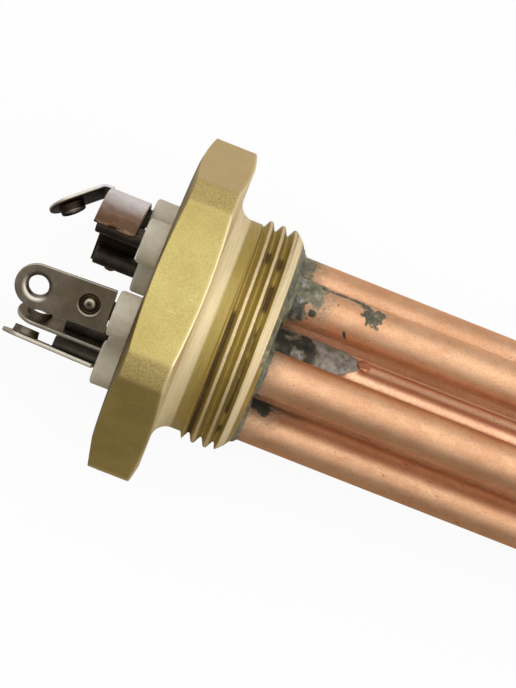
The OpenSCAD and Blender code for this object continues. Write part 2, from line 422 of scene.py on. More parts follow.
def plug_looks(verts):
    """Where the plug is dirty, filmed over or worn to bright metal, where it is pale, partly as painted
    reflection, and where its top flat carries a painted sheen.
    """
    x = verts[:, 0]
    away = np.hypot(verts[:, 1], verts[:, 2])
    deg = (np.degrees(np.arctan2(verts[:, 2], verts[:, 1])) - HEX_TURN) % 360 + HEX_TURN
    height, groove = thread_wave(x, np.radians(deg))
    zone = along(x, GROOVE_X)
    # pale: sealing face, fillet and bevel line, pale partly from their turned finish and partly as a painted
    # reflection of bright surroundings
    seal = band(-0.05, 2.5, x, 0.15) * (1 - 0.45 * step(23.0, 26.5, away)) * step(28.3, 27.9, away)
    side = step(27.9, 28.2, away) * (x < 0.1)
    return {
        "groove": step(0.75, 0.1, height) * zone,
        "crest": step(0.96, 1.0, height) * along(x, CREST_X),
        "dirt": groove_dirt(deg, groove, verts) * step(0.5, 0.2, height) * zone,
        "pale": most(seal, band(11.35, 12.55, x, 0.12)),
        "flux": step(12.5, 12.8, x) * np.where(x < 13.45, 0.3 + 0.7 * step(122, 100, deg), 0.85),
        "neck": band(2.7, 4.9, x, 0.25),
        # painted sheen: the hex flat on the +Y side gets a lighter, pinker brass in place of the reflection
        # it shows
        "upper": band(HEX_TURN, HEX_TURN + 60, deg, 1.0) * side,
    }


def plug():
    psi = np.radians(HEX_TURN) + turns(PLUG_STEPS)
    off = (np.degrees(psi) - HEX_TURN) % 60 - 30
    hexagon = np.minimum(FLAT / np.cos(np.radians(off)), CORNER)
    # soften the edges between flats and turned corners
    hexagon = (np.roll(hexagon, 1) + 2 * hexagon + np.roll(hexagon, -1)) / 4
    rows = plug_rows(psi, hexagon, step(*LAND, np.abs(off)))
    x, r, land, rim, worn_edge_highlight, face = (join(*column) for column in zip(*rows))
    verts = hoop(x, r, np.tile(psi, len(rows)))
    verts = pushed(verts, plug_wear(verts, land))
    faces = grid_faces(len(rows), PLUG_STEPS)
    verts = plug_ends(verts, faces, len(rows))
    values = plug_looks(verts)
    blank = np.zeros(len(verts) - len(land))
    for key, amount in (("land", land), ("rim", rim), ("worn_edge_highlight", worn_edge_highlight)):
        values[key] = join(amount, blank)
    values["pale"] = most(values["pale"], join(face, blank))
    return piece("plug_body", verts, faces, ["screw_plug"], sharp=42, values=values)


# Braze and flux on the copper tubes, with painted shadow on the pocket and on B

COAT_KEYS = ("coat", "dark", "haze", "light")
STAIN_START = 12.0
STAIN_FADE = (33.0, 31.0)
# ragged stains, and one painted shadow on B: leg, kind, amount, end along X, middle and half width in
# degrees, softness of both
PATCHES = (
    ("A", "coat", 0.85, 16.6, 60, 80, 1.0, 16),
    ("A", "haze", 1.0, 18.5, 60, 80, 1.2, 20),
    # painted shadow: B's lower front side is darkened near the plug
    ("B", "dark", 0.8, 16.5, 125, 30, 0.5, 8),
    ("B", "haze", 1.0, 20.5, 80, 70, 1.0, 14),
    ("F", "coat", 1.0, 17.6, 38, 32, 1.0, 14),
    ("F", "dark", 1.0, 17.6, 38, 32, 1.0, 14),
    ("F", "coat", 0.5, 20.6, 26, 24, 1.2, 14),
    ("F", "haze", 1.0, 20.0, 40, 60, 1.2, 20),
)
B_TOP = ((19.2, 55, 46, 0.8, 12), (16.8, 110, 50, 0.8, 12))
# spots on the tubes: x, angle and two radii; each lobe of the blot starts with its amount
B_CLEAR, B_DROP, E_DRIP = (16.9, 112, 1.1, 0.8), (18.0, 119, 0.75, 0.75), (14.2, 190, 1.0, 1.6)
BLOT = ((1.0, 26.8, 60, 0.9, 1.9), (1.0, 28.4, 84, 1.4, 0.9), (1.0, 29.3, 62, 0.8, 1.3),
        (0.7, 29.9, 46, 1.0, 0.5), (0.5, 28.0, 66, 1.0, 1.2))
# runs of metal on leg B, through places given as x and angle
STREAK = ((18.4, 46), (20.8, 42), (23.0, 38), (26.0, 42))
STREAK_HAZE = ((18.4, 46), (23.0, 36), (26.8, 40))
SLASH = ((24.3, 136), (24.9, 152))


class Wall:
    """A ring of points on a tube's wall, with the noise that its stains share."""

    def __init__(self, x, angle, points):
        self.x = x
        self.angle = angle
        self.points = points
        self.fine = layered(points, 0.55, 37)
        self.cloud = layered(points, 1.5, 39)
        # places pushed about, which gives the stains ragged edges
        self.ragged_x = x + 3.0 * lumps(points, 1.6, 31, 4)
        self.ragged_angle = angle + 56 * lumps(points, 1.4, 33, 4)

    def patch(self, end, middle, half, soft_x, soft_angle):
        """Ragged stain from the plug to a place along the tube, round an angle of its wall."""
        along_tube = band(STAIN_START, end, self.ragged_x, soft_x)
        return along_tube * sector(self.ragged_angle, middle, half, soft_angle)

    def spot(self, x, angle, length, width):
        across = np.radians(turn_gap(self.angle, angle)) * TUBE
        return np.exp(-((self.x - x) / length) ** 2 - (across / width) ** 2)

    def stroke(self, places, width, sway=0.0):
        """A run of metal drawn through (x, angle) places."""
        best = np.full(len(self.points), 99.0)
        for (x0, a0), (x1, a1) in zip(places, places[1:]):
            du, dv = x1 - x0, math.radians(a1 - a0) * TUBE
            pu, pv = self.x - x0, np.radians(turn_gap(self.angle + sway, a0)) * TUBE
            t = np.clip((pu * du + pv * dv) / (du * du + dv * dv), 0, 1)
            best = np.minimum(best, np.hypot(pu - t * du, pv - t * dv))
        return step(0.2, -0.2, best - width)


def sector(angle, middle, half, soft):
    return step(half + soft, half - soft, np.abs(turn_gap(angle, middle)))


def add_to(film, **amounts):
    for key, amount in amounts.items():
        film[key] = most(film[key], amount)


def stain_pocket(w, film):
    """A long tongue of braze, pale towards its tip, with painted shadow near the plug and on its side towards
    A and B.
    """
    tip = np.clip(30.0 - 1.9 * (turn_gap(w.angle, 62) / 34) ** 2, 25, 31)
    body = step(0.7, -0.7, w.x - tip + 1.6 * lumps(w.points, 1.2, 31, 4))
    # painted shadow: the dark film is mottled, heaviest near the plug and on the side that faces A and B
    shade = 0.95 * step(0.62, 0.44, w.cloud) * step(27, 19, w.x)
    film["light"] = body * most(step(19.5, 26.5, w.x + 8 * (w.cloud - 0.5)), step(0.56, 0.66, w.cloud))
    film["dark"] = body * most(shade, 0.6 * step(45, 20, w.angle % 360))
    film["lump"] = body * (0.12 + 0.4 * lumps(w.points, 1.3, 53))
    add_to(film, coat=body)


def stain_b(w, film):
    """A film on top with a clear spot, a streak that runs to a ragged blot, a slash and a drop."""
    swirl = lumps(w.points, 0.8, 43)
    top = most(*(w.patch(*place) for place in B_TOP)) * (1 - step(0.35, 0.7, w.spot(*B_CLEAR)))
    blot = sum(amount * w.spot(*place) for amount, *place in BLOT)
    splash = step(0.40, 0.66, blot + 2.2 * lumps(w.points, 0.7, 47, 4))
    streak = w.stroke(STREAK, 0.32 + 0.9 * swirl, 16 * swirl)
    slash = w.stroke(SLASH, 0.27)
    drop = w.spot(*B_DROP)
    ring = step(0.3, 0.5, drop)
    shade = 0.55 * top * step(0.46, 0.62, 1 - w.cloud)
    film["light"] = top * step(0.46, 0.62, w.cloud) * step(17.0, 14.5, w.x)
    film["lump"] = 0.10 * most(top, splash) * (0.5 + w.fine) + 0.35 * drop
    add_to(film, coat=most(top, splash, 0.9 * streak, ring, slash),
           dark=most(shade, 0.55 * splash, 0.75 * streak, 0.75 * ring, 0.9 * slash),
           haze=w.stroke(STREAK_HAZE, 0.9, 16 * swirl))


def stain_e(w, film):
    """Pale film at the plug, fine pits and a drip."""
    pits = step(0.60, 0.68, layered(w.points, 0.7, 61, 2))
    pits = pits * band(14, 26, w.x, 0.5) * sector(w.angle, 165, 40, 8)
    drip = w.spot(*E_DRIP)
    film["light"] = 0.8 * film["coat"]
    add_to(film, coat=step(0.3, 0.6, drip), dark=most(0.35 * pits, 0.8 * step(0.4, 0.7, drip)))
    film["lump"] = 0.08 * film["coat"] * w.fine - 0.05 * pits + 0.35 * drip


STAINS = {"pocket": stain_pocket, "B": stain_b, "E": stain_e}


def film_on(leg, x, angle, points):
    """Amounts of coat, dark, haze and light on a ring of a tube's wall, and the coat's height."""
    wall = Wall(x, angle, points)
    coat = (0.45 if leg in "EF" else 0.8) * step(15.4, 13.6, wall.ragged_x)
    film = {
        "coat": coat,
        "dark": 0.4 * coat * step(0.45, 0.65, wall.cloud),
        "haze": step(18.5, 14.0, wall.ragged_x),
        "light": 0.0 * coat,
        "lump": 0.06 * coat * wall.fine,
    }
    if leg in STAINS:
        STAINS[leg](wall, film)
    for owner, kind, amount, *place in PATCHES:
        if owner == leg:
            add_to(film, **{kind: amount * wall.patch(*place)})
    return np.clip(np.stack([film[key] for key in COAT_KEYS]), 0, 1), film["lump"]


# Copper tubes

TUBE_STEPS = 96
BEND_STEPS = 40
FINE_ROWS = (12.9, 33.0, 0.22)
COARSE_START, COARSE_ROW = 34.0, 3.0
BARE_RING = np.zeros((len(COAT_KEYS), TUBE_STEPS))


def tube_rows(end):
    """Places of a tube's rings, close together where the stains are."""
    rows = [TERMINAL_FACE + 0.05, 0.0] + list(np.arange(*FINE_ROWS))
    return rows + list(np.arange(COARSE_START, end, COARSE_ROW)) + [end]


def hairpin(name, legs, end, replaced):
    """One bent tube, from the end of its first leg round to the end of its second."""
    ang = turns(TUBE_STEPS)
    half, height = leg_centre(legs[0])
    xs = tube_rows(end)
    # each ring has its centre, the way outwards in the plane of the bend, and its leg's name
    rings = [((x, half), (0.0, 1.0), LEGS[legs[0]]) for x in xs]
    for k in range(1, BEND_STEPS):
        out_y, out_x = polar(1.0, 180 * k / BEND_STEPS)
        rings.append(((end + half * out_x, half * out_y), (out_x, out_y), None))
    rings += [((x, -half), (0.0, -1.0), LEGS[legs[1]]) for x in reversed(xs)]
    verts, films = [], []
    for (x, y), (out_x, out_y), leg in rings:
        centre = np.array([x, y, height])
        arm = np.stack([np.cos(ang) * out_x, np.cos(ang) * out_y, np.sin(ang)], axis=1)
        film, lump = BARE_RING, np.zeros(TUBE_STEPS)
        if leg:
            angle = np.degrees(np.arctan2(np.sin(ang), np.cos(ang) * out_y))
            film, lump = (v * step(*STAIN_FADE, x) for v in film_on(leg, x, angle, centre + TUBE * arm))
        verts.append(centre + arm * (TUBE + lump)[:, None])
        films.append(film)
    return piece(name, join(*verts), capped_faces(len(verts), TUBE_STEPS), [replaced],
                 sharp=60, values=dict(zip(COAT_KEYS, np.concatenate(films, axis=1))))


def pocket():
    """Tube on the axis with a round end, and a bore that opens in the terminal face."""
    ang = turns(TUBE_STEPS)
    straight = tube_rows(POCKET_BEND)
    tip = arc(POCKET_BEND, 0.0, TUBE, 90, 4, 12)[1:]
    inside = arc(POCKET_BEND, 0.0, BORE, 4, 90, 10)
    inside += [(60.0, BORE), (0.0, BORE), (TERMINAL_FACE + 0.1, BORE + 0.02)]
    verts, films = [], []
    for x in straight:
        film, lump = film_on("pocket", x, np.degrees(ang), hoop(x, TUBE, ang))
        verts.append(hoop(x, TUBE + lump * step(34, 32, x), ang))
        films.append(film)
    for x, r in tip + inside:
        verts.append(hoop(x, r, ang))
        films.append(BARE_RING)
    outer_rows = len(straight) + len(tip)
    base = outer_rows * TUBE_STEPS
    faces = grid_faces(outer_rows, TUBE_STEPS) + grid_faces(len(inside), TUBE_STEPS, base=base)
    faces.append(tuple(numbers(base - TUBE_STEPS, TUBE_STEPS)))
    faces.append(tuple(numbers(base, TUBE_STEPS)[::-1]))
    mouth = numbers(base + (len(inside) - 1) * TUBE_STEPS, TUBE_STEPS)
    faces += bridge(mouth, numbers(0, TUBE_STEPS))
    return piece("pocket_tube", join(*verts), faces, ["thermostat_pocket"], sharp=60,
                 values=dict(zip(COAT_KEYS, np.concatenate(films, axis=1))))


# Insulators and pins

CERAMIC_STEPS, PIN_STEPS = 72, 48
CERAMIC, SPIGOT, PIN_HOLE = 4.1, 3.12, 1.78
SPIGOT_END, COLLAR_END = -3.5, -13.7
CERAMIC_EDGE, COLLAR_ROUND = 0.12, 0.6
PIN = 1.7
PIN_OUTER, PIN_INNER = -22.0, 42.0
PIN_ROW = 0.6
# rounded tip of a pin: distance from its end, and how far its wall is drawn in
PIN_TIP = ((0.0, 0.3), (0.03, 0.15), (0.15, 0.03), (0.4, 0.0))


def insulator(leg, extra=0.0):
    """Ceramic end with a spigot in the tube and a rounded collar, which extra makes longer."""
    end = COLLAR_END - extra
    profile = [(SPIGOT_END, PIN_HOLE), (SPIGOT_END, SPIGOT), (TERMINAL_FACE, SPIGOT),
               (TERMINAL_FACE, CERAMIC - CERAMIC_EDGE), (TERMINAL_FACE - CERAMIC_EDGE, CERAMIC)]
    profile += [(x, CERAMIC) for x in (TERMINAL_FACE - 1.0, TERMINAL_FACE - 2.0, end + 0.9)]
    profile += arc(end + COLLAR_ROUND, CERAMIC - COLLAR_ROUND, COLLAR_ROUND, 90, 180, 10)
    profile += [(end, 2.6), (end + 0.02, 2.05), (end + 0.25, PIN_HOLE + 0.02)]
    verts, faces = lathe(profile, CERAMIC_STEPS)
    outside = verts[:, 0] < TERMINAL_FACE - 0.05
    verts = pushed(verts, 0.05 * lumps(verts + leg * 11.0, 1.6, 81) * outside) + (0, *leg_centre(leg))
    number = leg + 1
    return piece("ceramic_%d" % number, verts, faces, ["insulator_%d" % number],
                 sharp=50)


def pin(leg, cut_angle, seat, flat_end, tilt=0.0):
    """Plated pin with a welding flat on the side that faces its lug or link."""
    ang = turns(PIN_STEPS)
    rings = [(PIN_OUTER + back, PIN - inset) for back, inset in PIN_TIP]
    plain = list(np.arange(PIN_OUTER + 1.0, flat_end - 0.3, PIN_ROW))
    plain += [flat_end - 0.04, flat_end + 0.04, 0.0, PIN_INNER]
    rings += [(x, PIN) for x in plain]
    up = np.array([0, *polar(1.0, cut_angle)])
    slope = math.tan(math.radians(tilt))
    verts = []
    for x, r in rings:
        ring = hoop(x, r, ang)
        if x < flat_end:
            over = np.maximum(ring @ up - seat - (x - WELD_X) * slope, 0)
            ring = ring - over[:, None] * up
        verts.append(ring + (0, *leg_centre(leg)))
    number = leg + 1
    return piece("terminal_pin_%d" % number, join(*verts), capped_faces(len(verts), PIN_STEPS),
                 ["pin_%d" % number], sharp=40)


# Lugs, drawn flat with their round tip at u = 0, the width along v and the height along w

LUG_LENGTH, LUG_HALF, LUG_INNER = 17.25, 3.9, -14.0
LUG_CORNER, LUG_EDGE = 0.35, 0.2
LUG_EDGE_ROWS = (0.05, 0.12, 0.2, 0.3, 0.45)
LUG_GRID = 0.45
HOLE_U, HOLE, HOLE_STEPS = LUG_HALF + 0.15, 1.85, 64
DISH_WIDTH, DISH_DEPTH = 0.9, 0.72
COLLAR, COLLAR_DEPTH = (2.34, 2.24), 1.3
TOP_RINGS = (HOLE, 1.9, 1.98, 2.1, 2.25, 2.45, 2.65, 2.85, 3.1, 3.4)
LOW_RINGS = (HOLE, 1.9, 2.0, 2.12, 2.2, 2.25, 2.29, 2.33, 2.4, 2.55, 2.9, 3.4)
WELD_RINGS = (0.25, 0.5, 0.75, 0.95, 1.1, 1.25, 1.4, 1.55, 1.7, 1.85, 2.0, 2.2, 2.4)
WELD_STEPS = 40
# spatter round a weld: place along and across the lug, radius and height
SPATTER = ((-2.25, -1.5, 0.17, 0.16), (-0.95, -2.35, 0.13, 0.12), (-2.6, 0.8, 0.1, 0.07))
# phase lugs: leg, turn round the pin, lean in the lug's own plane, tilt along the pin
PHASE_LUGS = ((2, -4, 2, 0), (3, 11, 0, 1.6), (4, -20, 0, 0))


def lug_outline(length):
    half, corner = LUG_HALF, LUG_CORNER
    points = arc(half, 0.0, half, 90, 270, 48)
    points += [(u, -half) for u in np.arange(half + 0.5, length - corner, 0.5)]
    points += arc(length - corner, -half + corner, corner, -90, 0, 4)
    points += [(length, v) for v in np.arange(-half + corner + 0.5, half - corner, 0.5)]
    points += arc(length - corner, half - corner, corner, 0, 90, 4)
    points += [(u, half) for u in np.arange(length - corner - 0.5, half + 0.3, -0.5)]
    return points


def lug_depth(q, length):
    """Distance of points (u, v) from the lug's outline, measured inwards."""
    u, v = q[:, 0], q[:, 1]
    in_tip = u < LUG_HALF
    side = np.where(in_tip, 99.0, LUG_HALF - np.abs(v))
    tip = np.where(in_tip, LUG_HALF - np.hypot(u - LUG_HALF, v), 99.0)
    return np.minimum.reduce([side, length - u, tip])


def lug_points(outline, length, rings, weld_at):
    """Points (u, v) of one side: its edge, rings round the hole and the weld, and a grid between."""
    half = LUG_HALF
    points = list(outline)
    for inset in LUG_EDGE_ROWS:
        for u, v in outline:
            if u < half:
                share = 1 - inset / max(math.hypot(u - half, v), 1e-6)
                points.append((half + (u - half) * share, v * share))
            else:
                points.append((min(u, length - inset), math.copysign(min(abs(v), half - inset), v)))
    for k, radius in enumerate(rings):
        for i in range(HOLE_STEPS):
            a = 2 * math.pi * (i + 0.5 * (k % 2)) / HOLE_STEPS
            q = (HOLE_U + radius * math.cos(a), radius * math.sin(a))
            if k == 0 or lug_depth(np.array([q]), length)[0] > 0.5:
                points.append(q)
    for radius in WELD_RINGS if weld_at else ():
        points += arc(weld_at, 0.0, radius, 0, 360, WELD_STEPS)[:-1]
    for u in np.arange(0.4, length, LUG_GRID):
        for v in np.arange(-half + 0.5, half - 0.3, LUG_GRID):
            at_edge = lug_depth(np.array([[u, v]]), length)[0] < 0.62
            at_hole = math.hypot(u - HOLE_U, v) < rings[-1] + 0.25
            at_weld = weld_at and math.hypot(u - weld_at, v) < WELD_RINGS[-1] + 0.25
            if not (at_edge or at_hole or at_weld):
                points.append((u, v))
    return np.array(points)


def weld_nub(u, v):
    """A spot weld about (0, 0): its height, how warm and scorched the sheet is there, and where glints are
    painted on it.
    """
    away = np.hypot(u, v - 0.02)
    pit = bell(np.hypot(u + 0.1, v + 0.15), 0, 0.32)
    dome = np.sqrt(np.maximum(1 - (away / 1.15) ** 2, 0))
    height = 0.36 * dome + 0.07 * bell(away, 1.95, 0.2) - 0.22 * pit
    height = height - 0.34 * bell(away, 1.5, 0.24) - 0.20 * step(1.9, 1.4, away)
    for at_u, at_v, radius, rise in SPATTER:
        height = height + rise * bell(np.hypot(u - at_u, v - at_v), 0, radius)
    # painted highlights: a bright arc on the lower rim of the weld and a glint on its dome
    lower = step(-0.2, 0.8, -v / np.maximum(away, 0.1))
    glint_and_bare_edge = most(0.8 * bell(away, 2.0, 0.13) * lower, 0.9 * bell(away, 0.75, 0.2) * (1 - lower))
    return height, step(9.0, 1.4, away), bell(away, 1.42, 0.26) + 0.6 * pit, glint_and_bare_edge


def lug_shape(length, weld_at=None, seed=0):
    """Points (u, v, w), faces and amounts of a lug, with a dished hole on top and a drawn collar below."""
    outline = lug_outline(length)
    top = lug_points(outline, length, TOP_RINGS, weld_at)
    low = lug_points(outline, length, LOW_RINGS, weld_at)
    top_depth, low_depth = lug_depth(top, length), lug_depth(low, length)

    away = np.hypot(top[:, 0] - HOLE_U, top[:, 1])
    top_w = SHEET - rounded(top_depth, LUG_EDGE) - DISH_DEPTH * bowl((HOLE + DISH_WIDTH - away) / DISH_WIDTH)
    # painted highlight: a bright crescent in the dish on the lower side of the hole
    lower = step(-0.1, 0.6, -(0.55 * (top[:, 0] - HOLE_U) + 0.83 * top[:, 1]) / away)
    glint_and_bare_edge = band(1.92, 2.65, away, 0.1) * lower
    warmth, scorch = np.zeros(len(top)), np.zeros(len(top))
    if weld_at:
        height, warmth, scorch, glint = weld_nub(top[:, 0] - weld_at, top[:, 1])
        top_w = top_w + height
        glint_and_bare_edge = most(glint_and_bare_edge, glint)
    places = np.column_stack([top, np.full(len(top), seed * 3.1)])
    top_w = top_w + 0.03 * lumps(places, 3.2, 91 + seed, 2) * np.clip(top_depth, 0, 1)

    away = np.hypot(low[:, 0] - HOLE_U, low[:, 1])
    collar = step(*COLLAR, away)
    low_w = rounded(low_depth, LUG_EDGE) - COLLAR_DEPTH * collar + 0.14 * bowl((2.0 - away) / 0.15)
    low_w = low_w - 0.12 * step(2.8, COLLAR[0], away) * (1 - collar)

    rim, shift = len(outline), len(top)
    hole = numbers(rim * (1 + len(LUG_EDGE_ROWS)), HOLE_STEPS)
    loops = [numbers(0, rim), hole]

    def in_hole(u, v):
        return math.hypot(u - HOLE_U, v) < HOLE * 0.9985

    faces = [tuple(t) for t in filled(top, loops, in_hole, 1e-7)]
    faces += [tuple(shift + k for k in reversed(t)) for t in filled(low, loops, in_hole, 1e-7)]
    faces += bridge(numbers(shift, rim), numbers(0, rim)) + bridge(hole, [shift + k for k in hole])
    verts = join(np.column_stack([top, top_w]), np.column_stack([low, low_w]))
    blank = np.zeros(len(low))
    values = {
        "warmth": join(warmth, blank),
        "scorch": join(scorch, blank),
        # painted highlights of the dish, the weld and the edges; the edges also stand for exposed cut metal
        "glint_and_bare_edge": most(join(glint_and_bare_edge, blank), 0.9 * step(0.2, 0.05, join(top_depth, low_depth))),
        # painted shade: the low side is marked so that the link's lug can be painted dark there
        "under": join(np.zeros(len(top)), blank + 1),
    }
    return verts, faces, values


def phase_lug(number, leg, turn, lean, tilt):
    outer = LUG_INNER - LUG_LENGTH
    verts, faces, values = lug_shape(LUG_LENGTH, WELD_X - outer, number)
    u, v, w = verts[:, 0] + outer - WELD_X, verts[:, 1], verts[:, 2]
    cosine, sine = polar(1.0, lean)
    length, width = u * cosine - v * sine, u * sine + v * cosine
    cosine, sine = polar(1.0, tilt)
    x, height = WELD_X + length * cosine - w * sine, LUG_SEAT + length * sine + w * cosine
    cosine, sine = polar(1.0, LEG_TURN * leg + turn)
    placed = np.stack([x, width * sine + height * cosine, height * sine - width * cosine], axis=1)
    return piece("lug_%d" % number, placed + (0, *leg_centre(leg)), faces,
                 ["phase_lug_%d" % number], sharp=55, values=values)


# Star link and weld metal

LINK_HALF = 66.5
LINK_EDGE = 0.22
LINK_ROWS, LINK_COLS = 361, 61
# radius that turns angles into lengths along the strip
LINK_MIDDLE = 15.6
POOL_X, POOL_IN = -18.2, 1.6
POOL_LENGTH, POOL_WIDTH = 2.8, 1.35
BEND_X, BEND_RADIUS, BEND_TURN = -23.3, 0.8, math.radians(42)
STEM_LENGTH, STEM_LAP = 10.1, 0.5
# weld beads on the link: name, angle, height over its inner side, x, three radii, turn of its axes, seed
WELDS = (
    ("weld_b_1", 66.0, 0.35, -16.6, (1.9, 0.55, 0.45), 66, 8),
    ("weld_b_2", 66.3, 0.5, -21.0, (1.3, 0.26, 0.3), 66, 13),
    ("weld_h_1", -67.0, 0.2, -18.6, (1.15, 0.75, 0.5), -64, 5),
)
BEAD_ROWS = 36
POCKET_BEAD_X, POCKET_BEAD_ANGLE, POCKET_BEAD_OUT = 30.6, 57, TUBE + 0.1


def weld_pool(xs, angle):
    """Distance from the middle of the weld pool near the link's front end, 1 on its rim."""
    inwards = math.radians(LINK_HALF - angle) * LINK_MIDDLE
    places = np.stack([xs, np.full(len(xs), inwards), np.full(len(xs), 8.0)], axis=1)
    off = inwards - POOL_IN - 0.12 * (xs - POOL_X)
    return np.hypot((xs - POOL_X) / POOL_LENGTH, off / POOL_WIDTH) + 0.5 * lumps(places, 1.3, 107)


def link_side(xs, angles, outer):
    """Points of the strip's outer or inner side."""
    rows = []
    for angle in angles:
        to_end = math.radians(LINK_HALF - abs(angle)) * LINK_MIDDLE
        depth = np.minimum(np.minimum(xs - LINK_X[0], LINK_X[1] - xs), to_end)
        r = LINK_INNER + rounded(depth, LINK_EDGE)
        if outer:
            across = np.full(len(xs), LINK_MIDDLE * math.radians(angle))
            places = np.stack([xs, across, np.full(len(xs), 3.0)], axis=1)
            pool = weld_pool(xs, angle)
            ripple = 0.05 * bell(pool, 1, 0.10) - 0.08 * step(1.05, 0.8, pool)
            ripple = ripple + 0.035 * np.cos(pool * 24) * step(1.0, 0.8, pool)
            wobble = 0.10 * lumps(places, 4.5, 101, 2) + 0.03 * lumps(places, 0.9, 103, 2)
            r = LINK_INNER + SHEET - rounded(depth, LINK_EDGE) + wobble + ripple
        rows.append(np.stack([xs, *polar(r, angle)], axis=1))
    return join(*rows)


def link_lug():
    """The link's bent lug: points, faces, the amounts of its flat shape, and the length out from the bend."""
    bent = BEND_TURN * (BEND_RADIUS + SHEET / 2)
    root = LINK_X[0] - BEND_X + STEM_LAP
    total = STEM_LENGTH + bent + root
    flat, faces, values = lug_shape(total, seed=7)
    out = total - root - flat[:, 0]
    turn = np.clip(out / bent, 0, 1) * BEND_TURN
    past = np.maximum(out - bent, 0)
    r = BEND_RADIUS + flat[:, 2]
    x = BEND_X - r * np.sin(turn) - past * math.cos(BEND_TURN) + np.maximum(-out, 0)
    y = LINK_INNER - 0.1 - BEND_RADIUS + r * np.cos(turn) - past * math.sin(BEND_TURN)
    return np.stack([x, y, flat[:, 1]], axis=1), faces, values, out


def star_link():
    """Curved strip over three pins, in one piece with its bent lug."""
    rows, cols = LINK_ROWS, LINK_COLS
    angles = np.linspace(-LINK_HALF, LINK_HALF, rows)
    xs = np.linspace(*LINK_X, cols)
    n = rows * cols
    faces = grid_faces(rows, cols, closed=False, flip=True) + grid_faces(rows, cols, closed=False, base=n)
    border = numbers(0, cols) + [j * cols + cols - 1 for j in range(1, rows)]
    border += numbers((rows - 1) * cols, cols - 1)[::-1] + [j * cols for j in range(rows - 2, 0, -1)]
    faces += bridge(border, [n + k for k in border])
    stem, stem_faces, flat, out = link_lug()
    faces += [tuple(2 * n + k for k in reversed(f)) for f in stem_faces]
    verts = join(link_side(xs, angles, True), link_side(xs, angles, False), stem)
    melt = join(*(step(1.08, 0.96, weld_pool(xs, angle)) for angle in angles))
    values = {
        # painted shade: the inner side of the strip and the low side of its lug
        "under": join(np.zeros(n), np.ones(n), flat["under"]),
        "stem": join(np.zeros(2 * n), step(0.5, 2.5, out)),
        "melt": join(melt, np.zeros(n + len(stem))),
    }
    return piece("link_strip", verts, faces, ["star_link"], sharp=50, values=values)


def wall_axes(angle):
    """Directions along the X axis, round it and away from it."""
    cosine, sine = polar(1.0, angle)
    return (1, 0, 0), (0, -sine, cosine), (0, cosine, sine)


def bead(name, centre, radii, axes, seed, rough):
    """A drop of metal: a rounded lump with a rough skin."""
    around = np.linspace(0, 2 * np.pi, 2 * BEAD_ROWS, endpoint=False)
    rows = []
    for up in np.linspace(-np.pi / 2 + 0.04, np.pi / 2 - 0.04, BEAD_ROWS):
        level = np.full(len(around), math.sin(up))
        rows.append(np.stack([np.cos(up) * np.cos(around), np.cos(up) * np.sin(around), level], axis=1))
    verts = join(*rows)
    swell = 1 + rough * lumps(verts * 2.0 + seed, 1.0, seed) * 2
    verts = (verts * swell[:, None] * np.array(radii)) @ np.array(axes, dtype=float) + np.array(centre)
    return piece(name, verts, capped_faces(BEAD_ROWS, len(around), flip=True))


def link_bead(name, angle, over, x, radii, axes_turn, seed):
    centre = (x, *polar(LINK_INNER + over, angle))
    return bead(name, centre, radii, wall_axes(axes_turn), seed, rough=0.3)


def pocket_bead():
    """The drop at the tip of the pocket's braze."""
    forward, round_about, out = wall_axes(POCKET_BEAD_ANGLE)
    centre = (POCKET_BEAD_X, *polar(POCKET_BEAD_OUT, POCKET_BEAD_ANGLE))
    axes = (round_about, out, forward)
    return bead("pocket_bead", centre, (1.25, 0.55, 1.25), axes, 23, rough=0.12)


# Materials

def add_node(tree, kind, **values):
    """A new shader node with values on its named sockets."""
    node = tree.nodes.new("ShaderNode" + kind)
    for key, value in values.items():
        node.inputs[key.replace("_", " ")].default_value = value
    return node


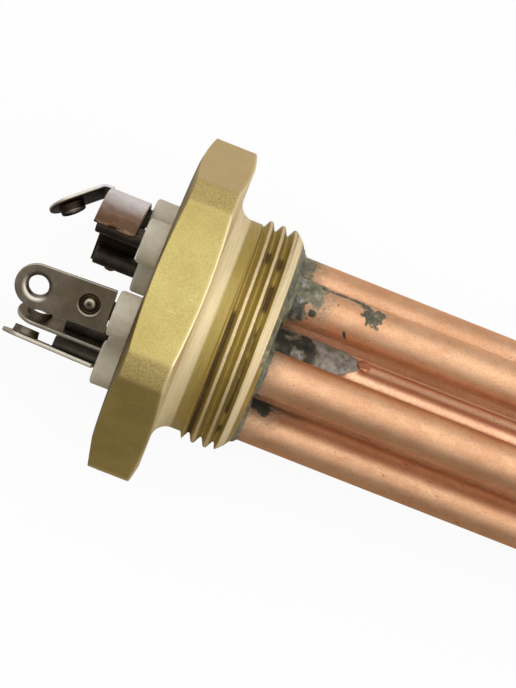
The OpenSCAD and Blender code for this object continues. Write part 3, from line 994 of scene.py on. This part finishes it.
class Nodes:
    """Short ways to make and join the nodes of one material."""

    def __init__(self, name):
        self.mat = bpy.data.materials.new(name)
        self.mat.use_nodes = True
        tree = self.mat.node_tree
        self.add = partial(add_node, tree)
        self.link = tree.links.new
        self.bsdf = tree.nodes["Principled BSDF"]
        self.coord = self.add("TexCoord").outputs["Object"]

    def put(self, socket, value):
        """Joins an output to a socket, or sets the socket's own number or colour."""
        if hasattr(value, "is_output"):
            self.link(value, socket)
        else:
            socket.default_value = (*value, 1) if isinstance(value, tuple) else value

    def mapping(self, scale=(1000, 1000, 1000), rotation=(0, 0, 0)):
        node = self.add("Mapping", Scale=scale, Rotation=rotation)
        self.link(self.coord, node.inputs["Vector"])
        return node.outputs["Vector"]

    def noise(self, scale, detail=4, rough=0.55, vector=None):
        node = self.add("TexNoise", Scale=scale, Detail=detail, Roughness=rough)
        self.link(self.mapping() if vector is None else vector, node.inputs["Vector"])
        return node.outputs["Fac"]

    def value(self, name):
        node = self.add("Attribute")
        node.attribute_name = name
        return node.outputs["Fac"]

    def axis(self, which):
        node = self.add("SeparateXYZ")
        self.link(self.mapping(), node.inputs[0])
        return node.outputs[which]

    def math(self, kind, a, b, clamp=False):
        node = self.add("Math")
        node.operation = kind
        node.use_clamp = clamp
        self.put(node.inputs[0], a)
        self.put(node.inputs[1], b)
        return node.outputs[0]

    times = partialmethod(math, "MULTIPLY")
    plus = partialmethod(math, "ADD")
    minus = partialmethod(math, "SUBTRACT")
    most = partialmethod(math, "MAXIMUM")

    def frayed(self, fac, noise, amount):
        """A value pushed up and down by a noise."""
        return self.plus(fac, self.times(self.minus(noise, 0.5), amount))

    def span(self, fac, a, b, low=0.0, high=1.0):
        """Smooth change from low to high as a value goes from a to b."""
        node = self.add("MapRange", From_Min=a, From_Max=b, To_Min=low, To_Max=high)
        node.interpolation_type = "SMOOTHSTEP"
        self.link(fac, node.inputs["Value"])
        return node.outputs["Result"]

    def ramp(self, fac, *stops):
        node = self.add("ValToRGB")
        node.color_ramp.interpolation = "EASE"
        elements = node.color_ramp.elements
        while len(elements) < len(stops):
            elements.new(0.5)
        for element, (place, colour) in zip(elements, stops):
            element.position = place
            element.color = (*colour, 1)
        self.link(fac, node.inputs["Fac"])
        return node.outputs["Color"]

    def layers(self, base, *layers):
        """Lays colours over a base, one after the other, each by its own share."""
        for share, colour in layers:
            node = self.add("Mix")
            node.data_type = "RGBA"
            self.put(node.inputs["Factor"], share)
            self.put(node.inputs[6], base)
            self.put(node.inputs[7], colour)
            base = node.outputs[2]
        return base

    def bump(self, height, strength, depth, normal=None):
        node = self.add("Bump", Strength=strength, Distance=depth * MM)
        self.link(height, node.inputs["Height"])
        if normal is not None:
            self.link(normal, node.inputs["Normal"])
        return node.outputs["Normal"]

    def use(self, **sockets):
        """Fills the shader's sockets and returns the material."""
        for key, value in sockets.items():
            self.put(self.bsdf.inputs[key.replace("_", " ")], value)
        return self.mat


def srgb(*levels):
    """Linear colour of three levels from 0 to 255."""
    shares = [level / 255 for level in levels]
    return tuple(c / 12.92 if c <= 0.04045 else ((c + 0.055) / 1.055) ** 2.4 for c in shares)


def flux_tone(n):
    """Mottled olive-grey of the flux and braze film."""
    spread = n.plus(n.times(n.noise(0.28, 3), 0.55), n.times(n.noise(1.1, 5, 0.65), 0.45))
    return n.ramp(spread, (0.34, srgb(66, 71, 62)), (0.5, srgb(108, 108, 90)), (0.66, srgb(160, 156, 132)))


def brass():
    """Satin brass, worn at its corners, pale on turned faces partly as painted reflection, with dirt in its
    grooves, painted shade towards +Y, a painted sheen on its top flat and a painted highlight on the sealing
    edge.
    """
    n = Nodes("satin_brass")
    broad, fine, grit = n.noise(0.12, 3), n.noise(4.2, 5, 0.65), n.noise(2.0, 5, 0.75)
    turned = n.noise(1.0, 4, 0.6, n.mapping((4200, 200, 200)))
    scuff = n.noise(1.0, 2, 0.5, n.mapping((260, 2600, 2600), (0.3, 0.7, 0.2)))
    scratch = n.noise(0.7, 3, 0.6, n.mapping((4200, 300, 300), (0.25, 0.35, 0.1)))
    land, rim, groove, crest, worn_edge_highlight = (n.value(key) for key in ("land", "rim", "groove", "crest", "worn_edge_highlight"))
    dirt, pale, flux, upper, neck = (n.value(key) for key in ("dirt", "pale", "flux", "upper", "neck"))
    soil = n.span(n.frayed(dirt, grit, 0.6), 0.22, 0.85)
    film = n.span(n.frayed(flux, grit, 0.9), 0.35, 0.65)
    # painted shade: far darkens the brass towards +Y, the far side of the plug
    far = n.frayed(n.axis(1), n.noise(0.25, 4), 14.0)
    neck_tone = n.ramp(turned, (0.34, srgb(168, 130, 58)), (0.5, srgb(178, 156, 80)),
                       (0.66, srgb(158, 150, 92)))
    # pale colour of the turned faces: turned finish, and partly a painted reflection
    turned_cream_sheen = n.ramp(turned, (0.35, srgb(230, 212, 172)), (0.65, srgb(240, 225, 188)))
    base = n.layers(
        n.ramp(broad, (0.3, srgb(187, 170, 106)), (0.7, srgb(202, 186, 121))),
        (n.span(fine, 0.40, 0.66, 0.0, 0.42), srgb(156, 136, 76)),
        (n.span(scuff, 0.67, 0.73, 0.0, 0.22), srgb(236, 220, 168)),
        # painted shade towards +Y
        (n.span(far, 0.0, 15.0, 0.0, 0.4), srgb(152, 130, 74)),
        # painted sheen on the top hex flat
        (n.times(upper, n.span(broad, 0.3, 0.7, 0.75, 0.95)), srgb(206, 182, 129)),
        (n.times(land, 0.7), srgb(226, 205, 138)),
        (n.times(land, n.span(n.noise(3.4, 5, 0.75), 0.42, 0.62, 0.0, 0.7)), srgb(162, 140, 86)),
        (n.times(neck, 0.75), neck_tone),
        (n.times(rim, 0.85), srgb(78, 54, 28)),
        # painted highlight: the worn sealing edge painted as a bright line
        (n.times(worn_edge_highlight, 0.75), srgb(248, 234, 190)),
        (n.times(pale, 0.85), turned_cream_sheen),
        (n.times(groove, 0.5), srgb(190, 162, 80)),
        (n.times(crest, n.span(grit, 0.35, 0.6, 0.95, 0.6)), srgb(236, 218, 188)),
        (n.times(soil, 0.9), srgb(80, 52, 28)),
        (film, flux_tone(n)),
    )
    covered = n.most(soil, film)
    rough = n.plus(n.span(fine, 0.3, 0.7, 0.38, 0.50), n.times(land, 0.08))
    rough = n.plus(rough, n.times(n.most(covered, n.most(pale, crest)), 0.16), clamp=True)
    metal = n.minus(1.0, n.times(covered, 0.75))
    metal = n.minus(metal, n.times(pale, 0.55), clamp=True)
    metal = n.minus(metal, n.times(n.most(neck, groove), 0.55), clamp=True)
    normal = n.bump(n.plus(n.times(fine, 0.8), n.times(scratch, 0.25)), 0.4, 0.05)
    normal = n.bump(n.times(grit, land), 0.35, 0.12, normal)
    return n.use(Base_Color=base, Metallic=metal, Roughness=rough, Normal=normal)


def flux_film():
    n = Nodes("flux_film")
    normal = n.bump(n.noise(1.6, 5, 0.65), 0.5, 0.2)
    return n.use(Base_Color=flux_tone(n), Metallic=0.25, Roughness=0.5, Normal=normal)


def copper(name, dull, clear, rough, skin):
    """Satin copper with small nicks, under the haze, film and flux that its points carry, and the painted
    shadow that some of them carry as dark.
    """
    n = Nodes(name)
    fine, edge, mottle = n.noise(3.2, 6, 0.7), n.noise(1.7, 6, 0.75), n.noise(0.8, 5, 0.65)
    drawn = n.noise(0.7, 4, 0.6, n.mapping((500, 1000, 1000)))
    pock = n.noise(1.3, 3, 0.55, n.mapping((700, 1500, 1500), (0, 0.5, 0.4)))
    nicks = n.times(n.span(pock, 0.66, 0.72), n.span(n.noise(0.16, 2), 0.46, 0.56))
    coat, dark, haze, light = (n.value(key) for key in COAT_KEYS)
    coat = n.span(n.frayed(coat, edge, 1.1), 0.25, 0.80)
    dark = n.span(n.frayed(dark, edge, 0.9), 0.20, 0.85)
    base = n.layers(
        n.ramp(n.plus(n.times(n.noise(0.10, 3), 0.5), n.times(drawn, 0.5)), (0.38, dull), (0.62, clear)),
        (n.span(fine, 0.46, 0.68, 0.0, 0.42), srgb(196, 139, 104)),
        (n.times(nicks, 0.7), srgb(104, 66, 46)),
        (n.times(haze, n.span(edge, 0.35, 0.65, 0.20, 0.68)), srgb(140, 122, 100)),
        (n.times(coat, 0.95), flux_tone(n)),
        (n.times(n.times(light, coat), n.span(mottle, 0.35, 0.6, 0.2, 0.9)), srgb(190, 189, 183)),
        # dark braze, and painted shadow where the pocket and B carry it
        (n.times(dark, 0.85), srgb(47, 53, 50)),
    )
    covered = n.most(n.most(coat, dark), n.times(haze, 0.5))
    metal = n.minus(1.0, n.times(covered, 0.8), clamp=True)
    rough = n.plus(n.span(fine, 0.3, 0.7, *rough), n.times(coat, 0.06), clamp=True)
    normal = n.bump(n.minus(fine, n.times(nicks, 0.8)), skin, 0.05)
    normal = n.bump(n.times(mottle, coat), 0.4, 0.3, normal)
    return n.use(Base_Color=base, Metallic=metal, Roughness=rough, Normal=normal,
                 Specular_Tint=(1.0, 0.82, 0.7))


def ceramic():
    n = Nodes("insulator_ceramic_matt")
    base = n.layers(n.ramp(n.noise(0.5, 5, 0.6), (0.3, srgb(208, 201, 182)), (0.7, srgb(222, 216, 198))),
                    (n.span(n.noise(2.6, 3, 0.6), 0.62, 0.72, 0.0, 0.3), srgb(176, 168, 148)))
    return n.use(Base_Color=base, Roughness=0.55, Normal=n.bump(n.noise(3.5, 4, 0.6), 0.2, 0.06))


def plated(name, dull, clear, heated=False, rough=(0.28, 0.42)):
    """Brushed plate; heated adds the tints round a weld, and painted highlights in the dish, on the weld and
    along the edges, which also stand for exposed cut metal.
    """
    n = Nodes(name)
    fine = n.noise(2.4, 5, 0.65)
    brush = n.noise(1.0, 3, 0.6, n.mapping((250, 2200, 2200)))
    base = n.layers(n.ramp(n.noise(0.35, 4, 0.6), (0.3, dull), (0.7, clear)),
                    (n.span(fine, 0.55, 0.75, 0.0, 0.35), srgb(70, 62, 54)))
    if heated:
        base = n.layers(base, (n.times(n.value("warmth"), 0.7), srgb(88, 76, 56)),
                        (n.times(n.value("scorch"), 0.75, clamp=True), srgb(44, 36, 26)),
                        # painted highlights: dish crescent, weld glints and bright edges
                        (n.times(n.value("glint_and_bare_edge"), 0.7), srgb(232, 224, 208)))
    normal = n.bump(n.plus(fine, brush), 0.18, 0.05)
    return n.use(Base_Color=base, Metallic=1.0, Roughness=n.span(fine, 0.3, 0.7, *rough), Normal=normal)


def link_metal():
    """Plated strip: pale on top, heat tinted towards its lower end, with painted shade on its inner side and
    below its lug.
    """
    n = Nodes("heat_tinted_plate")
    fine = n.noise(2.4, 5, 0.65)
    under = n.value("under")
    warm = n.span(n.frayed(n.axis(1), n.noise(0.35, 3), 3.0), 5.5, 15.0)
    base = n.layers(
        n.ramp(warm, (0.0, srgb(112, 84, 64)), (0.35, srgb(148, 122, 106)), (0.65, srgb(196, 186, 184)),
               (1.0, srgb(236, 236, 242))),
        (n.value("stem"), srgb(238, 232, 218)),
        (n.times(n.value("melt"), n.span(fine, 0.35, 0.65, 0.4, 0.8)), srgb(126, 96, 76)),
        # painted shade on the inner side and below the lug
        (under, srgb(60, 50, 42)),
        (n.span(fine, 0.58, 0.75, 0.0, 0.3), srgb(90, 76, 66)),
    )
    rough = n.plus(n.span(fine, 0.3, 0.7, 0.30, 0.42), n.times(under, 0.1))
    return n.use(Base_Color=base, Metallic=1.0, Roughness=rough, Normal=n.bump(fine, 0.2, 0.05))


def weld_metal():
    n = Nodes("weld_bead")
    base = n.ramp(n.noise(1.6, 5, 0.65), (0.3, srgb(78, 60, 46)), (0.55, srgb(126, 102, 82)),
                  (0.75, srgb(190, 170, 148)))
    return n.use(Base_Color=base, Metallic=1.0, Roughness=0.36, Normal=n.bump(n.noise(2.2, 4, 0.6), 0.5, 0.2))


def paint(objects, material):
    for obj in objects:
        obj.data.materials.clear()
        obj.data.materials.append(material)


# Build and paint the pieces

paint([plug()], brass())
paint([hairpin("tube_upper", (1, 2), NARROW_END, "sheath_upper"),
       hairpin("tube_middle", (0, 3), WIDE_END, "sheath_middle"),
       hairpin("tube_lower", (5, 4), NARROW_END, "sheath_lower")],
      copper("sheath_copper_satin", srgb(222, 172, 134), srgb(234, 189, 151), rough=(0.44, 0.58), skin=0.4))
# painted light: the pocket copper is lighter than the sheath copper, standing in for light in the gap between
# the tubes
paint([pocket()],
      copper("pocket_copper_satin_painted_bright", srgb(246, 192, 154), srgb(254, 210, 174), rough=(0.32, 0.42), skin=0.1))
white_ceramic = ceramic()
paint([insulator(leg, 0.6 if leg == 0 else 0.0) for leg in range(len(LEGS))], white_ceramic)
pins = [pin(leg, LEG_TURN * leg, LINK_SEAT, LINK_X[1]) for leg in (0, 1, 5)]
pins += [pin(leg, LEG_TURN * leg + turn, LUG_SEAT, LUG_FLAT_END, tilt) for leg, turn, _, tilt in PHASE_LUGS]
paint(pins, plated("pin_plate", srgb(66, 58, 52), srgb(88, 80, 72), rough=(0.4, 0.55)))
paint([phase_lug(number, *settings) for number, settings in enumerate(PHASE_LUGS, 1)],
      plated("lug_plate", srgb(104, 96, 84), srgb(128, 118, 104), heated=True))
paint([star_link()], link_metal())
paint([link_bead(*settings) for settings in WELDS], weld_metal())
paint([pocket_bead()], plated("red_copper", srgb(214, 142, 106), srgb(232, 168, 130), rough=(0.46, 0.56)))

node_looks = {
    "braze_rings": flux_film(),
    "magnesia": white_ceramic,
    "coil": plated("coil_wire", srgb(120, 118, 116), srgb(140, 138, 136)),
}
for name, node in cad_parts.items():
    for start, material in node_looks.items():
        if name.startswith(start):
            paint([node], material)


# Floor, surround, lights and camera

FLOOR_Z, FLOOR_HALF = -29.25, 3000
# painted shade and light on the floor, for rays other than the camera's: darker in front, lighter behind
FLOOR_SHADE_TONES = ((0.31, 0.265, 0.21), (0.78, 0.73, 0.68))
FLOOR_REACH = 80
FLOOR_SEEN = (0.9, 0.9, 0.9, 1)
SHADOW_SHARE = 0.07
WORLD_TONES = ((0.24, 0.222, 0.204), (0.64, 0.63, 0.61))
LIGHT_AIM = Vector((15, 0, 0))
CAMERA_TILT, CAMERA_ROLL = 12, 21.5
CAMERA_AWAY, CAMERA_LENS, CAMERA_SENSOR = 330, 96.7, 36
CAMERA_AIM_X, CAMERA_AIM_SIDE = 11.8, -0.30


def tone_by_y(tree, place, reach, low, high):
    """Colour that goes from low to high as the Y of a place goes from -reach to reach."""
    split = add_node(tree, "SeparateXYZ")
    share = add_node(tree, "MapRange", From_Min=-reach, From_Max=reach)
    tone = add_node(tree, "ValToRGB")
    for element, colour in zip(tone.color_ramp.elements, (low, high)):
        element.color = (*colour, 1)
    tree.links.new(place, split.inputs[0])
    tree.links.new(split.outputs["Y"], share.inputs["Value"])
    tree.links.new(share.outputs["Result"], tone.inputs["Fac"])
    return tone.outputs["Color"]


def floor_material():
    """White to the camera, with a soft shadow; to other rays it is a warm floor with painted shade, darker in
    front and lighter behind.
    """
    material = bpy.data.materials.new("floor_white")
    material.use_nodes = True
    tree = material.node_tree
    tree.nodes.clear()
    link = tree.links.new
    white = add_node(tree, "Emission", Color=(1, 1, 1, 1), Strength=1.0)
    seen = add_node(tree, "BsdfDiffuse", Color=FLOOR_SEEN)
    around = add_node(tree, "BsdfDiffuse")
    position = add_node(tree, "NewGeometry").outputs["Position"]
    # painted shade: the floor's tone by Y, seen only in reflections
    link(tone_by_y(tree, position, FLOOR_REACH * MM, *FLOOR_SHADE_TONES), around.inputs["Color"])
    to_camera = add_node(tree, "MixShader", Fac=SHADOW_SHARE)
    link(white.outputs[0], to_camera.inputs[1])
    link(seen.outputs[0], to_camera.inputs[2])
    by_ray = add_node(tree, "MixShader")
    link(add_node(tree, "LightPath").outputs["Is Camera Ray"], by_ray.inputs[0])
    link(around.outputs[0], by_ray.inputs[1])
    link(to_camera.outputs[0], by_ray.inputs[2])
    link(by_ray.outputs[0], add_node(tree, "OutputMaterial").inputs["Surface"])
    return material


def lay_floor():
    half, z = FLOOR_HALF * MM, FLOOR_Z * MM
    mesh = bpy.data.meshes.new("floor")
    corners = [(-half, -half, z), (half, -half, z), (half, half, z), (-half, half, z)]
    mesh.from_pydata(corners, [], [(0, 1, 2, 3)])
    mesh.materials.append(floor_material())
    floor = bpy.data.objects.new("floor", mesh)
    bpy.context.scene.collection.objects.link(floor)


def light_world():
    world = bpy.data.worlds.new("surround")
    bpy.context.scene.world = world
    world.use_nodes = True
    tree = world.node_tree
    direction = add_node(tree, "TexCoord").outputs["Generated"]
    tree.links.new(tone_by_y(tree, direction, 1, *WORLD_TONES), tree.nodes["Background"].inputs["Color"])


def set_up(name, data, right, up, back, place):
    """A light or camera at a place, with its own three axes."""
    obj = bpy.data.objects.new(name, data)
    bpy.context.scene.collection.objects.link(obj)
    rows = [(right[k], up[k], back[k], place[k] * MM) for k in range(3)]
    obj.matrix_world = Matrix(rows + [(0, 0, 0, 1)])
    return obj


def soft_light(name, direction, distance, width, height, power):
    """A light panel that faces the plug, with its width along the X axis."""
    data = bpy.data.lights.new(name, "AREA")
    data.shape = "RECTANGLE"
    data.size = width * MM
    data.size_y = height * MM
    data.energy = power
    back = Vector(direction).normalized()
    up = back.cross(Vector((1, 0, 0))).normalized()
    set_up(name, data, up.cross(back).normalized(), up, back, LIGHT_AIM + back * distance)


def set_camera():
    """In front and above, square to the axis at the sealing face, and rolled as in the photo."""
    tilt, roll = math.radians(CAMERA_TILT), math.radians(CAMERA_ROLL)
    side = Vector((0, math.cos(tilt), math.sin(tilt)))
    place = Vector((0, -math.sin(tilt), math.cos(tilt))) * CAMERA_AWAY
    aim = Vector((CAMERA_AIM_X, 0, 0)) + side * CAMERA_AIM_SIDE
    back = (place - aim).normalized()
    right = Vector((1, 0, 0)) * math.cos(roll) + side * math.sin(roll)
    right = (right - back * right.dot(back)).normalized()
    data = bpy.data.cameras.new("camera")
    data.lens = CAMERA_LENS
    data.sensor_width = CAMERA_SENSOR
    data.clip_start = 0.01
    data.clip_end = 20
    bpy.context.scene.camera = set_up("camera", data, right, back.cross(right), back, place)


lay_floor()
light_world()
soft_light("key", (0, *polar(1.0, 72)), distance=700, width=1300, height=640, power=2.45)
soft_light("gap", (0, *polar(1.0, 98)), distance=700, width=1300, height=130, power=0.4)
soft_light("front", (0, *polar(1.0, 123)), distance=700, width=1300, height=480, power=0.98)
soft_light("inlet_side", (1.0, -0.1, 0.6), distance=900, width=700, height=600, power=3.0)
set_camera()
bpy.context.scene.view_settings.view_transform = "Standard"
